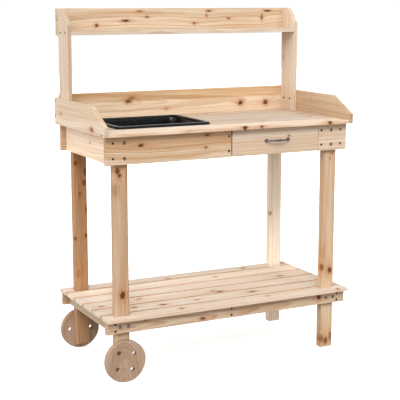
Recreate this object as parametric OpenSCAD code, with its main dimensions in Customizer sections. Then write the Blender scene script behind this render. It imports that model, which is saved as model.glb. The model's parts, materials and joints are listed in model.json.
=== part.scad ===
// Potting bench: a timber work bench with a drawer, a lift-out sink, a slatted lower
// shelf, a raised hutch shelf and two wheels under its left legs.
// Millimetres. X runs to the right, Y to the back, Z up. The origin is on the floor,
// under the middle of the worktop.

/* [Overall] */
// Width across the two side boards
overall_w = 920; // [880:10:1000]
// Depth of the worktop and of the lower shelf
overall_d = 450; // [440:5:480]
// Height of the hutch above the floor
overall_h = 1190; // [1150:10:1250]

/* [Boards] */
// Thickness of the frame boards
board_t = 14; // [12:1:16]
// Width of the wide boards: aprons, side boards, posts and hutch back
board_w = 90; // [86:1:94]
// Thickness of the worktop and slat boards
top_t = 12; // [10:1:14]

/* [Heights] */
// Clear height under the aprons
apron_z = 710; // [690:5:730]
// Top of the lower shelf
shelf_top = 218; // [200:2:240]
// Height of the lower rails
rail_h = 42; // [38:1:50]
// Underside of the hutch shelf
hutch_shelf_z = 1103; // [1090:1:1110]

/* [Legs] */
// Width of a leg, seen from the front
leg_w = 48; // [44:1:52]
// Depth of a leg, front to back
leg_d = 28; // [24:1:30]
// Outer face of the legs from the middle of the bench
leg_x = 416; // [410:1:420]
// Gap under the two legs that stand on wheels
leg_lift = 22; // [15:1:30]

/* [Worktop] */
// Overhang of the worktop in front of the front apron
front_overhang = 22; // [18:1:26]
// Space from the rear apron to the back of the worktop
rear_overhang = 12; // [10:1:14]

/* [Sink] */
// Width of the bowl at its top
bowl_w = 312; // [300:2:320]
// Depth of the bowl at its top, front to back
bowl_d = 246; // [236:2:250]
// Width of the rim that stands on the worktop
rim_w = 14; // [12:1:14]
// Draw-in of each bowl wall from top to floor
bowl_taper = 12; // [6:1:15]
// Wall thickness of the bowl
bowl_wall = 3; // [2:0.5:4]

/* [Drawer] */
// Width of the drawer front
drawer_w = 333; // [325:1:334]
// Length of the drawer box behind its front
drawer_len = 290; // [240:5:300]
// Thickness of the drawer sides and back
drawer_t = 10; // [8:1:12]

/* [Wheels] */
// Radius of a wheel
wheel_r = 70; // [60:1:70]
// Thickness of a wheel
wheel_t = 18; // [16:1:20]
// Radius of the axle screws
axle_r = 5; // [4:0.5:6]

/* [Hidden] */
$fn = 48;

eps = 0.5;

// Faces of the frame, from front to back
front_y = -overall_d / 2;
back_y = overall_d / 2;
apron_f = front_y + front_overhang;
apron_b = back_y - rear_overhang;
leg_f0 = apron_f + board_t;
leg_f1 = leg_f0 + leg_d;
leg_r1 = apron_b - board_t;
leg_r0 = leg_r1 - leg_d;

// Faces of the frame, from the middle outwards
side_x = overall_w / 2;
top_x = side_x - board_t;
post_x = top_x - board_t;
hutch_x = top_x + 4;
apron_x = 448;
skirt_x = leg_x + board_t;
skirt_mid = leg_x + board_t / 2;
rail_x = 454;
slat_x = 456;

// Levels
top_z0 = apron_z + board_w;
top_z1 = top_z0 + top_t;
side_top = top_z0 + board_w;
rail_z1 = shelf_top - top_t;
rail_z0 = rail_z1 - rail_h;
hutch_shelf_top = hutch_shelf_z + board_t;

// Chamfers on the side boards and on the posts
side_cut_y = 110;
side_cut_z = 57;
post_cut_y = 50;
post_cut_z = 54;

// Posts, at the back of the worktop
post_b = back_y - board_t;
post_f = post_b - board_w;

// Sink, in the left half of the worktop
sink_x = -204;
sink_y = 13;
bowl_floor = 712;
bowl_corner = 16;
rim_corner = 20;
rim_gap = 0.2;
rim_top = top_z1 + 9;
sink_gap = 4;
hole_x0 = sink_x - bowl_w / 2 - sink_gap;
hole_x1 = sink_x + bowl_w / 2 + sink_gap;
hole_y0 = sink_y - bowl_d / 2 - sink_gap;
hole_y1 = sink_y + bowl_d / 2 + sink_gap;

// Drawer bay, between the two dividers
divider_l = -13;
divider_r = 346;
bay_x0 = divider_l + board_t / 2;
bay_x1 = divider_r - board_t / 2;
drawer_x0 = 0;
drawer_x1 = drawer_x0 + drawer_w;
drawer_gap = 3;
gap_left = 4;
gap_right = 1.2;
box_x0 = drawer_x0 + drawer_gap;
box_x1 = drawer_x1 - drawer_gap;
box_z0 = apron_z + 15.3;
box_z1 = box_z0 + 60;
box_back = leg_f0 + drawer_len;
handle_x = 170;
handle_z = 757;
handle_half = 42;
handle_rise = 15;
handle_r = 3.5;
handle_foot = 3;
handle_foot_r = 7;
handle_neck_r = 4.6;
handle_screw_r = 2;
bottom_t = 4;

// Lower shelf, from the back: two narrow slats round four wide ones. Each leg stands a
// little past the inner edge of its slat, so the notch round it is open on that side.
slat_gap = 8;
leg_proud = 4;
notch_open = leg_proud + 2;
slat_rear_d = back_y - leg_r0 + leg_proud;
slat_front_d = leg_f1 - front_y - leg_proud;
slat_mid_d = (overall_d - slat_rear_d - slat_front_d - 5 * slat_gap) / 4;

// Wheels
wheel_x = leg_x - leg_w / 2 - 2;
wheel_gap = 0.3;
washer_t = 1.5;
hub_sink = 11;
plug_r = 10;
plug_t = 5.2;
head_r = 8;
head_h = 5;
spoke_r = 38;
spoke_hole_r = 7.5;

// Fastener places
screw_z = [apron_z + 21, apron_z + 70];
rail_screw_z = [rail_z0 + 9, rail_z1 - 10];
rail_mid_z = (rail_z0 + rail_z1) / 2 + 1;
bolt_x = 385;
rail_bolt_x = [378, 407];

wood = "burlywood";
pale = "wheat";
dark = "dimgray";
zinc = "silver";

// A board between two corners
module board(a, b) {
  translate(a) cube(b - a);
}

// A countersunk screw: its head is at the origin and it points along +Z
module screw(len) {
  difference() {
    union() {
      cylinder(h = 2.4, r1 = 4, r2 = 2);
      cylinder(h = len, r = 2);
    }
    translate([-2.4, -0.6, -1]) cube([4.8, 1.2, 2.2]);
    translate([-0.6, -2.4, -1]) cube([1.2, 4.8, 2.2]);
  }
}

// The hole that the screw fills
module screw_hole(len) {
  cylinder(h = 2.4, r1 = 4, r2 = 2);
  cylinder(h = len, r = 2);
}

// A brad: a thin nail with a flat head, pointing along +Z
module brad(len) {
  cylinder(h = 1, r = 1.2);
  cylinder(h = len, r = 0.8);
}

// A furniture bolt: its washer face is at the origin and its shank points along +Z
module bolt(len) {
  difference() {
    translate([0, 0, -3]) {
      rotate_extrude() polygon([[0, 0], [3.6, 0], [5.5, 1.6], [5.5, 3], [0, 3]]);
    }
    translate([0, 0, -4]) cylinder(h = 2.6, r = 2.3, $fn = 6);
  }
  cylinder(h = len, r = bolt_r);
}

// A hexagon nut round a shank, lying on the origin plane
module nut(across, h, hole) {
  difference() {
    cylinder(h = h, r = across / sqrt(3), $fn = 6);
    translate([0, 0, -eps]) cylinder(h = h + 2 * eps, r = hole);
  }
}

// Turns from pointing along +Z to pointing along +Y, -Y, +X or -X
module to_back() { rotate([-90, 0, 0]) children(); }
module to_front() { rotate([90, 0, 0]) children(); }
module to_right() { rotate([0, 90, 0]) children(); }
module to_left() { rotate([0, -90, 0]) children(); }

// Places of the screws through the front and rear boards of the frame
module at_apron_screws(xs) {
  for (x = xs, z = screw_z) translate([x, 0, z]) children();
}
module at_rail_screws() {
  for (x = [-skirt_mid, 0, skirt_mid], z = rail_screw_z) translate([x, 0, z]) children();
}

// Places of the bolts that hold the legs
module at_leg_bolts(sides = [-1, 1]) {
  for (s = sides, z = screw_z) translate([s * bolt_x, 0, z]) children();
  for (s = sides, x = rail_bolt_x) translate([s * x, 0, rail_mid_z]) children();
}

apron_screw_len = 44;
front_screw_x = [-skirt_mid, divider_l];
right_screw_x = [divider_r, skirt_mid];
all_screw_x = [-skirt_mid, divider_l, divider_r, skirt_mid];
bolt_len = board_t + leg_d + 9;
bolt_r = 3;

module cut_front_screws(xs) {
  translate([0, apron_f, 0]) at_apron_screws(xs) to_back() screw_hole(apron_screw_len);
}
module cut_rear_screws(xs) {
  translate([0, apron_b, 0]) at_apron_screws(xs) to_front() screw_hole(apron_screw_len);
}
module cut_rail_screws() {
  translate([0, apron_f, 0]) at_rail_screws() to_back() screw_hole(apron_screw_len);
  translate([0, apron_b, 0]) at_rail_screws() to_front() screw_hole(apron_screw_len);
}
module cut_leg_bolts() {
  translate([0, apron_f, 0]) at_leg_bolts() to_back() cylinder(h = bolt_len, r = bolt_r);
  translate([0, apron_b, 0]) at_leg_bolts() to_front() cylinder(h = bolt_len, r = bolt_r);
}

// Legs
module leg(side, y0, z0) {
  x0 = side < 0 ? -leg_x : leg_x - leg_w;
  difference() {
    board([x0, y0, z0], [x0 + leg_w, y0 + leg_d, top_z0]);
    cut_leg_bolts();
    if (side < 0) {
      at_front_axle() axle_shank(0);
      at_rear_axle() axle_shank(0);
    }
  }
}
module leg_front_left() { color(wood) leg(-1, leg_f0, leg_lift); }
module leg_front_right() { color(wood) leg(1, leg_f0, 0); }
module leg_rear_left() { color(wood) leg(-1, leg_r0, leg_lift); }
module leg_rear_right() { color(wood) leg(1, leg_r0, 0); }

// Aprons under the worktop
module apron_front_left() {
  color(pale) difference() {
    board([-apron_x, apron_f, apron_z], [drawer_x0 - gap_left, leg_f0, top_z0]);
    cut_front_screws(front_screw_x);
    cut_leg_bolts();
  }
}
module apron_front_right() {
  color(pale) difference() {
    board([drawer_x1 + gap_right, apron_f, apron_z], [apron_x, leg_f0, top_z0]);
    cut_front_screws(right_screw_x);
    cut_leg_bolts();
  }
}
module apron_rear() {
  color(pale) difference() {
    board([-apron_x, leg_r1, apron_z], [apron_x, apron_b, top_z0]);
    cut_rear_screws(all_screw_x);
    cut_leg_bolts();
  }
}
module apron_side(x0) {
  difference() {
    board([x0, leg_f0, apron_z], [x0 + board_t, leg_r1, top_z0]);
    cut_front_screws(all_screw_x);
    cut_rear_screws(all_screw_x);
    cut_top_brads();
  }
}
module apron_side_left() { color(pale) apron_side(-skirt_x); }
module apron_side_right() { color(pale) apron_side(leg_x); }

// Dividers on each side of the drawer
module divider(mid) {
  difference() {
    board([mid - board_t / 2, leg_f0, apron_z], [mid + board_t / 2, leg_r1, top_z0]);
    cut_front_screws(all_screw_x);
    cut_rear_screws(all_screw_x);
    cut_top_brads();
  }
}
module divider_left() { color(wood) divider(divider_l); }
module divider_right() { color(wood) divider(divider_r); }

// L-shaped runner: the drawer slides on its foot and is guided by its upright
runner_w = 20;
runner_upright = 8;
runner_z = [apron_z + 2, apron_z + 15, apron_z + 50];
runner_y = [leg_f0 + 2, leg_r1 - 4];
module runner() {
  board([0, runner_y[0], runner_z[0]], [runner_w, runner_y[1], runner_z[1]]);
  board([0, runner_y[0], runner_z[1]], [runner_upright, runner_y[1], runner_z[2]]);
}
module drawer_runner_left() { color(wood) translate([bay_x0, 0, 0]) runner(); }
module drawer_runner_right() {
  color(wood) translate([bay_x1, 0, 0]) mirror([1, 0, 0]) runner();
}
stop_gap = 2;
stop_h = 30;
module drawer_stop() {
  color(wood) board([bay_x0, box_back + stop_gap, top_z0 - stop_h],
                    [bay_x1, box_back + stop_gap + board_t, top_z0]);
}

// Worktop boards, numbered from the front; the sink opening cuts the third and fourth
// boards through and leaves two short stubs at its left, tied together by a batten
plank_d = overall_d / 5;
plank_seam = 0.6;
function plank_y(i) = front_y + (i - 1) * plank_d;

module worktop_plank(i) {
  difference() {
    board([-top_x, plank_y(i) + plank_seam / 2, top_z0],
          [top_x, plank_y(i) + plank_d - plank_seam / 2, top_z1]);
    board([hole_x0, hole_y0, top_z0 - eps], [hole_x1, hole_y1, top_z1 + eps]);
    cut_top_brads();
    cut_side_board_screws();
  }
}
module worktop_part(i, x0, x1) {
  intersection() {
    worktop_plank(i);
    board([x0, front_y - eps, top_z0 - eps], [x1, back_y + eps, top_z1 + eps]);
  }
}
module worktop_board_1() { color(pale) worktop_plank(1); }
module worktop_board_2() { color(pale) worktop_plank(2); }
module worktop_board_3() { color(pale) worktop_part(3, sink_x, top_x + eps); }
module worktop_board_4() { color(pale) worktop_part(4, sink_x, top_x + eps); }
module worktop_board_5() { color(pale) worktop_plank(5); }
module worktop_stubs() {
  color(pale) for (i = [3, 4]) worktop_part(i, -top_x - eps, sink_x);
}
batten_w = 20;
batten_end = 30;
module worktop_batten() {
  color(wood) difference() {
    board([-leg_x, leg_f1 + batten_end, top_z0 - batten_w],
          [-leg_x + batten_w, leg_r0 - batten_end, top_z0]);
    cut_top_brads();
  }
}

// Side boards, with their front corners cut off at a slope
module side_board(x0) {
  difference() {
    translate([x0, 0, 0]) rotate([90, 0, 90]) linear_extrude(board_t) {
      polygon([[front_y, top_z0], [back_y, top_z0], [back_y, side_top],
               [front_y + side_cut_y, side_top], [front_y, side_top - side_cut_z]]);
    }
    cut_side_board_screws();
    cut_post_screws();
  }
}
module side_board_left() { color(wood) side_board(-side_x); }
module side_board_right() { color(wood) side_board(top_x); }

// Board along the back of the worktop
module splash_back() {
  color(wood) difference() {
    board([-top_x, post_b, top_z1], [top_x, back_y, top_z1 + board_w]);
    cut_side_board_screws();
    cut_back_screws();
  }
}

// Posts of the hutch, with their upper front corners cut off
module post(x0) {
  difference() {
    translate([x0, 0, 0]) rotate([90, 0, 90]) linear_extrude(board_t) {
      polygon([[post_f, top_z1], [post_b, top_z1], [post_b, overall_h],
               [post_f + post_cut_y, overall_h], [post_f, overall_h - post_cut_z]]);
    }
    cut_post_screws();
    cut_shelf_screws();
    cut_back_screws();
  }
}
module post_left() { color(wood) post(-top_x); }
module post_right() { color(wood) post(post_x); }

// Hutch shelf and the board behind it
module hutch_shelf() {
  color(pale) difference() {
    board([-post_x, post_f, hutch_shelf_z], [post_x, post_b, hutch_shelf_top]);
    cut_shelf_screws();
    cut_back_screws();
  }
}
module hutch_back() {
  color(wood) difference() {
    board([-hutch_x, post_b, overall_h - board_w], [hutch_x, back_y, overall_h]);
    cut_back_screws();
  }
}

// Rails of the lower shelf
module rail_front() {
  color(pale) difference() {
    board([-rail_x, apron_f, rail_z0], [rail_x, leg_f0, rail_z1]);
    cut_rail_screws();
    cut_leg_bolts();
    cut_slat_brads();
  }
}
module rail_rear() {
  color(pale) difference() {
    board([-rail_x, leg_r1, rail_z0], [rail_x, apron_b, rail_z1]);
    cut_rail_screws();
    cut_leg_bolts();
    cut_slat_brads();
  }
}
module rail_across(x0) {
  difference() {
    board([x0, leg_f0, rail_z0], [x0 + board_t, leg_r1, rail_z1]);
    cut_rail_screws();
    cut_slat_brads();
  }
}
module rail_left() { color(pale) rail_across(-skirt_x); }
module rail_right() { color(pale) rail_across(leg_x); }
module cross_rail() { color(wood) rail_across(-board_t / 2); }

// Slats of the lower shelf, numbered from the back; the outer two clear the legs
function slat_depth(i) = i == 1 ? slat_rear_d : i == 6 ? slat_front_d : slat_mid_d;
function slat_back(i) = i == 1 ? back_y
  : i == 6 ? front_y + slat_front_d
  : slat_back(1) - slat_rear_d - slat_gap - (i - 2) * (slat_mid_d + slat_gap);
function slat_mid(i) = slat_back(i) - slat_depth(i) / 2;

module slat(i) {
  difference() {
    board([-slat_x, slat_back(i) - slat_depth(i), rail_z1], [slat_x, slat_back(i), shelf_top]);
    cut_slat_brads();
    if (i == 1) leg_notches(leg_r0 - notch_open);
    if (i == 6) leg_notches(leg_f0);
  }
}
module leg_notches(y0) {
  for (x = [-leg_x, leg_x - leg_w]) {
    translate([x - eps, y0 - eps, rail_z1 - eps]) {
      cube([leg_w + 2 * eps, leg_d + notch_open + 2 * eps, top_t + 2 * eps]);
    }
  }
}
module slat_1() { color(pale) slat(1); }
module slat_2() { color(pale) slat(2); }
module slat_3() { color(pale) slat(3); }
module slat_4() { color(pale) slat(4); }
module slat_5() { color(pale) slat(5); }
module slat_6() { color(pale) slat(6); }

// Dark screws through the aprons and rails
module frame_screws() {
  color(dark) {
    translate([0, apron_f, 0]) at_apron_screws(all_screw_x) to_back() screw(apron_screw_len);
    translate([0, apron_b, 0]) at_apron_screws(all_screw_x) to_front() screw(apron_screw_len);
    translate([0, apron_f, 0]) at_rail_screws() to_back() screw(apron_screw_len);
    translate([0, apron_b, 0]) at_rail_screws() to_front() screw(apron_screw_len);
  }
}

// Screws through the side boards: one into the worktop and a pair into the splash back
side_row_y = front_y + 24;
side_end_z = [top_z1 + 18, top_z1 + 68];
side_screw_len = 38;
post_screw_len = 24;
module at_side_board_screws() {
  translate([0, side_row_y, top_z0 + top_t / 2]) children();
  for (z = side_end_z) translate([0, back_y - board_t / 2, z]) children();
}
module cut_side_board_screws() {
  translate([-side_x, 0, 0]) at_side_board_screws() to_right() screw_hole(side_screw_len);
  translate([side_x, 0, 0]) at_side_board_screws() to_left() screw_hole(side_screw_len);
}

// Screws from inside each post into the side board
module at_post_screws() {
  for (y = [post_f + 26, post_b - 22]) translate([0, y, top_z1 + 46]) children();
}
module cut_post_screws() {
  translate([-post_x, 0, 0]) at_post_screws() to_left() screw_hole(post_screw_len);
  translate([post_x, 0, 0]) at_post_screws() to_right() screw_hole(post_screw_len);
}
module side_board_screws() {
  color(dark) {
    translate([-side_x, 0, 0]) at_side_board_screws() to_right() screw(side_screw_len);
    translate([side_x, 0, 0]) at_side_board_screws() to_left() screw(side_screw_len);
    translate([-post_x, 0, 0]) at_post_screws() to_left() screw(post_screw_len);
    translate([post_x, 0, 0]) at_post_screws() to_right() screw(post_screw_len);
  }
}

// Screws of the hutch: through the posts into the shelf, and from the back
hutch_screw_len = 40;
back_row_x = [-220, 0, 220];
module at_shelf_screws() {
  for (y = [post_f + 22, post_b - 20]) {
    translate([0, y, hutch_shelf_z + board_t / 2]) children();
  }
}
module at_back_screws() {
  for (s = [-1, 1], z = [overall_h - 22, overall_h - 60, top_z1 + 34, top_z1 + 57]) {
    translate([s * (post_x + board_t / 2), back_y, z]) children();
  }
  for (x = back_row_x) translate([x, back_y, hutch_shelf_z + board_t / 2]) children();
}
module cut_shelf_screws() {
  translate([-top_x, 0, 0]) at_shelf_screws() to_right() screw_hole(hutch_screw_len);
  translate([top_x, 0, 0]) at_shelf_screws() to_left() screw_hole(hutch_screw_len);
}
module cut_back_screws() {
  at_back_screws() to_front() screw_hole(hutch_screw_len);
}
module hutch_screws() {
  color(dark) {
    translate([-top_x, 0, 0]) at_shelf_screws() to_right() screw(hutch_screw_len);
    translate([top_x, 0, 0]) at_shelf_screws() to_left() screw(hutch_screw_len);
    at_back_screws() to_front() screw(hutch_screw_len);
  }
}

// Bolts that clamp the front and rear boards to the legs, and their nuts
module leg_bolts() {
  color(zinc) {
    translate([0, apron_f, 0]) at_leg_bolts() to_back() bolt(bolt_len);
    translate([0, apron_b, 0]) at_leg_bolts() to_front() bolt(bolt_len);
  }
}
nut_across = 10;
nut_h = 5;
module leg_bolt_nuts() {
  color(zinc) {
    translate([0, leg_f1, 0]) at_leg_bolts() to_back() nut(nut_across, nut_h, bolt_r);
    translate([0, leg_r0, 0]) at_leg_bolts() to_front() nut(nut_across, nut_h, bolt_r);
  }
}

// Brads: down through the worktop into the frame, and through the slats into the rails
brad_len = 28;
slat_brad_len = 19;
slat_brad_x = [-skirt_mid, -250, 0, 250, skirt_mid];
batten_brad_x = -leg_x + batten_w / 2;
module at_top_brads() {
  for (i = [1:5], x = [-skirt_mid, divider_l, divider_r, skirt_mid], d = [0.25, 0.75]) {
    y = plank_y(i) + d * plank_d;
    if (y > leg_f0 && y < leg_r1) translate([x, y, 0]) children();
  }
  for (i = [3, 4]) translate([batten_brad_x, plank_y(i) + plank_d / 2, 0]) children();
}
module cut_top_brads() {
  translate([0, 0, top_z1]) at_top_brads() mirror([0, 0, 1]) brad(brad_len);
}
module at_slat_brads() {
  for (i = [2:5], x = [-skirt_mid, 0, skirt_mid], d = [-0.3, 0.3]) {
    translate([x, slat_mid(i) + d * slat_mid_d, 0]) children();
  }
  for (x = slat_brad_x) {
    translate([x, leg_f0 - board_t / 2, 0]) children();
    translate([x, leg_r1 + board_t / 2, 0]) children();
  }
}
module cut_slat_brads() {
  translate([0, 0, shelf_top]) at_slat_brads() mirror([0, 0, 1]) brad(slat_brad_len);
}
module board_brads() {
  color(zinc) {
    translate([0, 0, top_z1]) at_top_brads() mirror([0, 0, 1]) brad(brad_len);
    translate([0, 0, shelf_top]) at_slat_brads() mirror([0, 0, 1]) brad(slat_brad_len);
  }
}

// A wheel: a drilled disc whose hub face is on the origin plane and faces +Z
module wheel_disc(turn) {
  difference() {
    cylinder(h = wheel_t, r = wheel_r, $fn = 96);
    translate([0, 0, -eps]) cylinder(h = wheel_t + 1, r = axle_r + 0.05);
    translate([0, 0, wheel_t - hub_sink]) cylinder(h = hub_sink + eps, r = plug_r);
    for (k = [0:3]) rotate([0, 0, turn + 90 * k]) translate([spoke_r, 0, -eps]) {
      cylinder(h = wheel_t + 1, r = spoke_hole_r);
    }
  }
}
module wheel_plug_disc() {
  translate([0, 0, wheel_t - plug_t]) cylinder(h = plug_t, r = plug_r);
}

// The front wheel stands in front of its leg, the rear wheel behind its own
front_wheel_turn = 38;
module at_front_axle() {
  translate([-wheel_x, leg_f0 - washer_t - wheel_gap, wheel_r]) to_front() children();
}
module at_rear_axle() {
  translate([-wheel_x, leg_r1 + washer_t + wheel_gap, wheel_r]) to_back() children();
}
module wheel_front() { color(wood) at_front_axle() wheel_disc(front_wheel_turn); }
module wheel_rear() { color(wood) at_rear_axle() wheel_disc(0); }
module wheel_plug_front() { color(wood) at_front_axle() wheel_plug_disc(); }
module wheel_plug_rear() { color(wood) at_rear_axle() wheel_plug_disc(); }

// Axle: a coach screw driven into the leg; its head is sunk in the hub, under the plug
axle_in = 24;
axle_tip = 4;
washer_r = 10;
module axle_shank(top) {
  reach = wheel_gap + washer_t + axle_in;
  translate([0, 0, -reach]) cylinder(h = axle_tip, r1 = 1, r2 = axle_r);
  translate([0, 0, axle_tip - reach]) cylinder(h = reach - axle_tip + top, r = axle_r);
}
module axle_screw() {
  head_z = wheel_t - hub_sink + wheel_gap;
  translate([0, 0, head_z]) cylinder(h = head_h, r = head_r);
  axle_shank(head_z);
}
module washer() {
  translate([0, 0, -wheel_gap - washer_t]) difference() {
    cylinder(h = washer_t, r = washer_r);
    translate([0, 0, -eps]) cylinder(h = washer_t + 2 * eps, r = axle_r);
  }
}
module axle_screws() {
  color(zinc) {
    at_front_axle() axle_screw();
    at_rear_axle() axle_screw();
  }
}
module axle_washers() {
  color(zinc) {
    at_front_axle() washer();
    at_rear_axle() washer();
  }
}

// Sink: a tapered bowl with a raised rim that stands on the worktop
module round_rect(w, d, r) {
  square([w - 2 * r, d], center = true);
  square([w, d - 2 * r], center = true);
  for (sx = [-1, 1], sy = [-1, 1]) translate([sx * (w / 2 - r), sy * (d / 2 - r)]) {
    circle(r, $fn = 32);
  }
}
module bowl_form(inset, z0, z1) {
  hull() {
    translate([0, 0, z1]) linear_extrude(0.1) {
      round_rect(bowl_w - 2 * inset, bowl_d - 2 * inset, bowl_corner - inset);
    }
    translate([0, 0, z0]) linear_extrude(0.1) {
      round_rect(bowl_w - 2 * (inset + bowl_taper), bowl_d - 2 * (inset + bowl_taper),
                 bowl_corner - inset - 4);
    }
  }
}
module rim_form(inset, z0, z1) {
  translate([0, 0, z0]) linear_extrude(z1 - z0) {
    round_rect(bowl_w + 2 * rim_w - 2 * inset, bowl_d - 2 * inset + 2 * (rim_w - 2),
               rim_corner - inset);
  }
}
module sink_basin() {
  color([0.08, 0.08, 0.09]) translate([sink_x, sink_y, 0]) difference() {
    union() {
      rim_form(0, top_z1 + rim_gap, rim_top);
      bowl_form(0, bowl_floor, top_z1 + 2);
    }
    difference() {
      rim_form(bowl_wall, top_z1 - eps, rim_top - bowl_wall);
      bowl_form(0, bowl_floor, rim_top);
    }
    bowl_form(bowl_wall, bowl_floor + bowl_wall, rim_top + 1);
  }
}

// Drawer: a front board, two sides, a back and a thin bottom let in between them
module drawer_front() {
  color(pale) difference() {
    board([drawer_x0, apron_f, apron_z + 1], [drawer_x1, leg_f0, top_z0 - 3]);
    at_handle_screws() to_front() screw_shank();
  }
}
module drawer_side(x0) {
  board([x0, leg_f0, box_z0], [x0 + drawer_t, box_back, box_z1]);
}
module drawer_side_left() { color(wood) drawer_side(box_x0); }
module drawer_side_right() { color(wood) drawer_side(box_x1 - drawer_t); }
module drawer_back() {
  color(wood) board([box_x0 + drawer_t, box_back - drawer_t, box_z0],
                    [box_x1 - drawer_t, box_back, box_z1]);
}
module drawer_bottom() {
  color(pale) board([box_x0 + drawer_t, leg_f0, box_z0 + bottom_t],
                    [box_x1 - drawer_t, box_back - drawer_t, box_z0 + 2 * bottom_t]);
}

// Handle: a bowed bar on two round feet, held by two screws from inside the drawer
module at_handle_screws() {
  for (s = [-1, 1]) translate([handle_x + s * handle_half, leg_f0, handle_z]) children();
}
module screw_shank() {
  translate([0, 0, -eps]) cylinder(h = board_t + 2 * eps, r = handle_screw_r);
}
module drawer_handle() {
  bow_r = (handle_half * handle_half + handle_rise * handle_rise) / (2 * handle_rise);
  half_angle = asin(handle_half / bow_r);
  color(zinc) difference() {
    translate([handle_x, apron_f, handle_z]) {
      translate([0, bow_r - handle_rise - handle_foot, 0]) {
        rotate([0, 0, 270 - half_angle]) rotate_extrude(angle = 2 * half_angle, $fn = 96) {
          translate([bow_r, 0]) circle(handle_r, $fn = 24);
        }
      }
      for (s = [-1, 1]) translate([s * handle_half, 0, 0]) {
        to_front() cylinder(h = handle_foot, r = handle_foot_r);
        translate([0, -handle_foot, 0]) sphere(handle_neck_r);
      }
    }
    at_handle_screws() to_front() cylinder(h = board_t + handle_foot, r = handle_screw_r);
    board([drawer_x0, apron_f, apron_z], [drawer_x1, leg_f0, top_z0]);
  }
}
module handle_screws() {
  color(zinc) at_handle_screws() {
    to_front() cylinder(h = board_t + handle_foot, r = handle_screw_r);
    to_back() cylinder(h = 2.2, r1 = 4, r2 = 3);
  }
}

leg_front_left();
leg_front_right();
leg_rear_left();
leg_rear_right();
apron_front_left();
apron_front_right();
apron_rear();
apron_side_left();
apron_side_right();
divider_left();
divider_right();
drawer_runner_left();
drawer_runner_right();
drawer_stop();
worktop_board_1();
worktop_board_2();
worktop_board_3();
worktop_board_4();
worktop_board_5();
worktop_stubs();
worktop_batten();
side_board_left();
side_board_right();
splash_back();
post_left();
post_right();
hutch_shelf();
hutch_back();
rail_front();
rail_rear();
rail_left();
rail_right();
cross_rail();
slat_1();
slat_2();
slat_3();
slat_4();
slat_5();
slat_6();
frame_screws();
side_board_screws();
hutch_screws();
leg_bolts();
leg_bolt_nuts();
board_brads();
wheel_front();
wheel_rear();
wheel_plug_front();
wheel_plug_rear();
axle_screws();
axle_washers();
sink_basin();
drawer_front();
drawer_side_left();
drawer_side_right();
drawer_back();
drawer_bottom();
drawer_handle();
handle_screws();
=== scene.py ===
import json
import math
import random

import bmesh
import bpy
from mathutils import Matrix, Vector, noise


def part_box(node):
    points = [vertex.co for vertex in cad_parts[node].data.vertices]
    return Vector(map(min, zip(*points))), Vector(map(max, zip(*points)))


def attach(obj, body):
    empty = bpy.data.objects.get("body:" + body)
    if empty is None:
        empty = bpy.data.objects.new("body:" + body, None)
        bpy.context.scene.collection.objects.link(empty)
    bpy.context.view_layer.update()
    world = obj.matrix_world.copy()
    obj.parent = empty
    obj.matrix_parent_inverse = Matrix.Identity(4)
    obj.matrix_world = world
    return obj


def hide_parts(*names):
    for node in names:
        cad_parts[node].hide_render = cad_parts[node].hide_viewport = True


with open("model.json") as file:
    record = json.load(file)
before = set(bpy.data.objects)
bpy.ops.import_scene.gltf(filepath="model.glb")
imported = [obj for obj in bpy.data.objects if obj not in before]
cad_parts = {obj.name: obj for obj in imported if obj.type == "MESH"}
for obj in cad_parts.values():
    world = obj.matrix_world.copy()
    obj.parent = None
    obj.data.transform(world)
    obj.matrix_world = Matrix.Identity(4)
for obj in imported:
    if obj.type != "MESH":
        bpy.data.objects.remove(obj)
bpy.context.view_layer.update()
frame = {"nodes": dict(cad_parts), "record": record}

MM = 0.001
AXES = "xyz"
RECORD = frame["record"]
SLOT_OF = {row["node"]: row["material_slot"] for row in RECORD["subparts"]}
BODY_OF = {}
for body_name, body_nodes in RECORD["behaviour"]["bodies"].items():
    for body_node in body_nodes:
        BODY_OF[body_node] = body_name


# ---------------------------------------------------------------- shader building blocks

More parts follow.
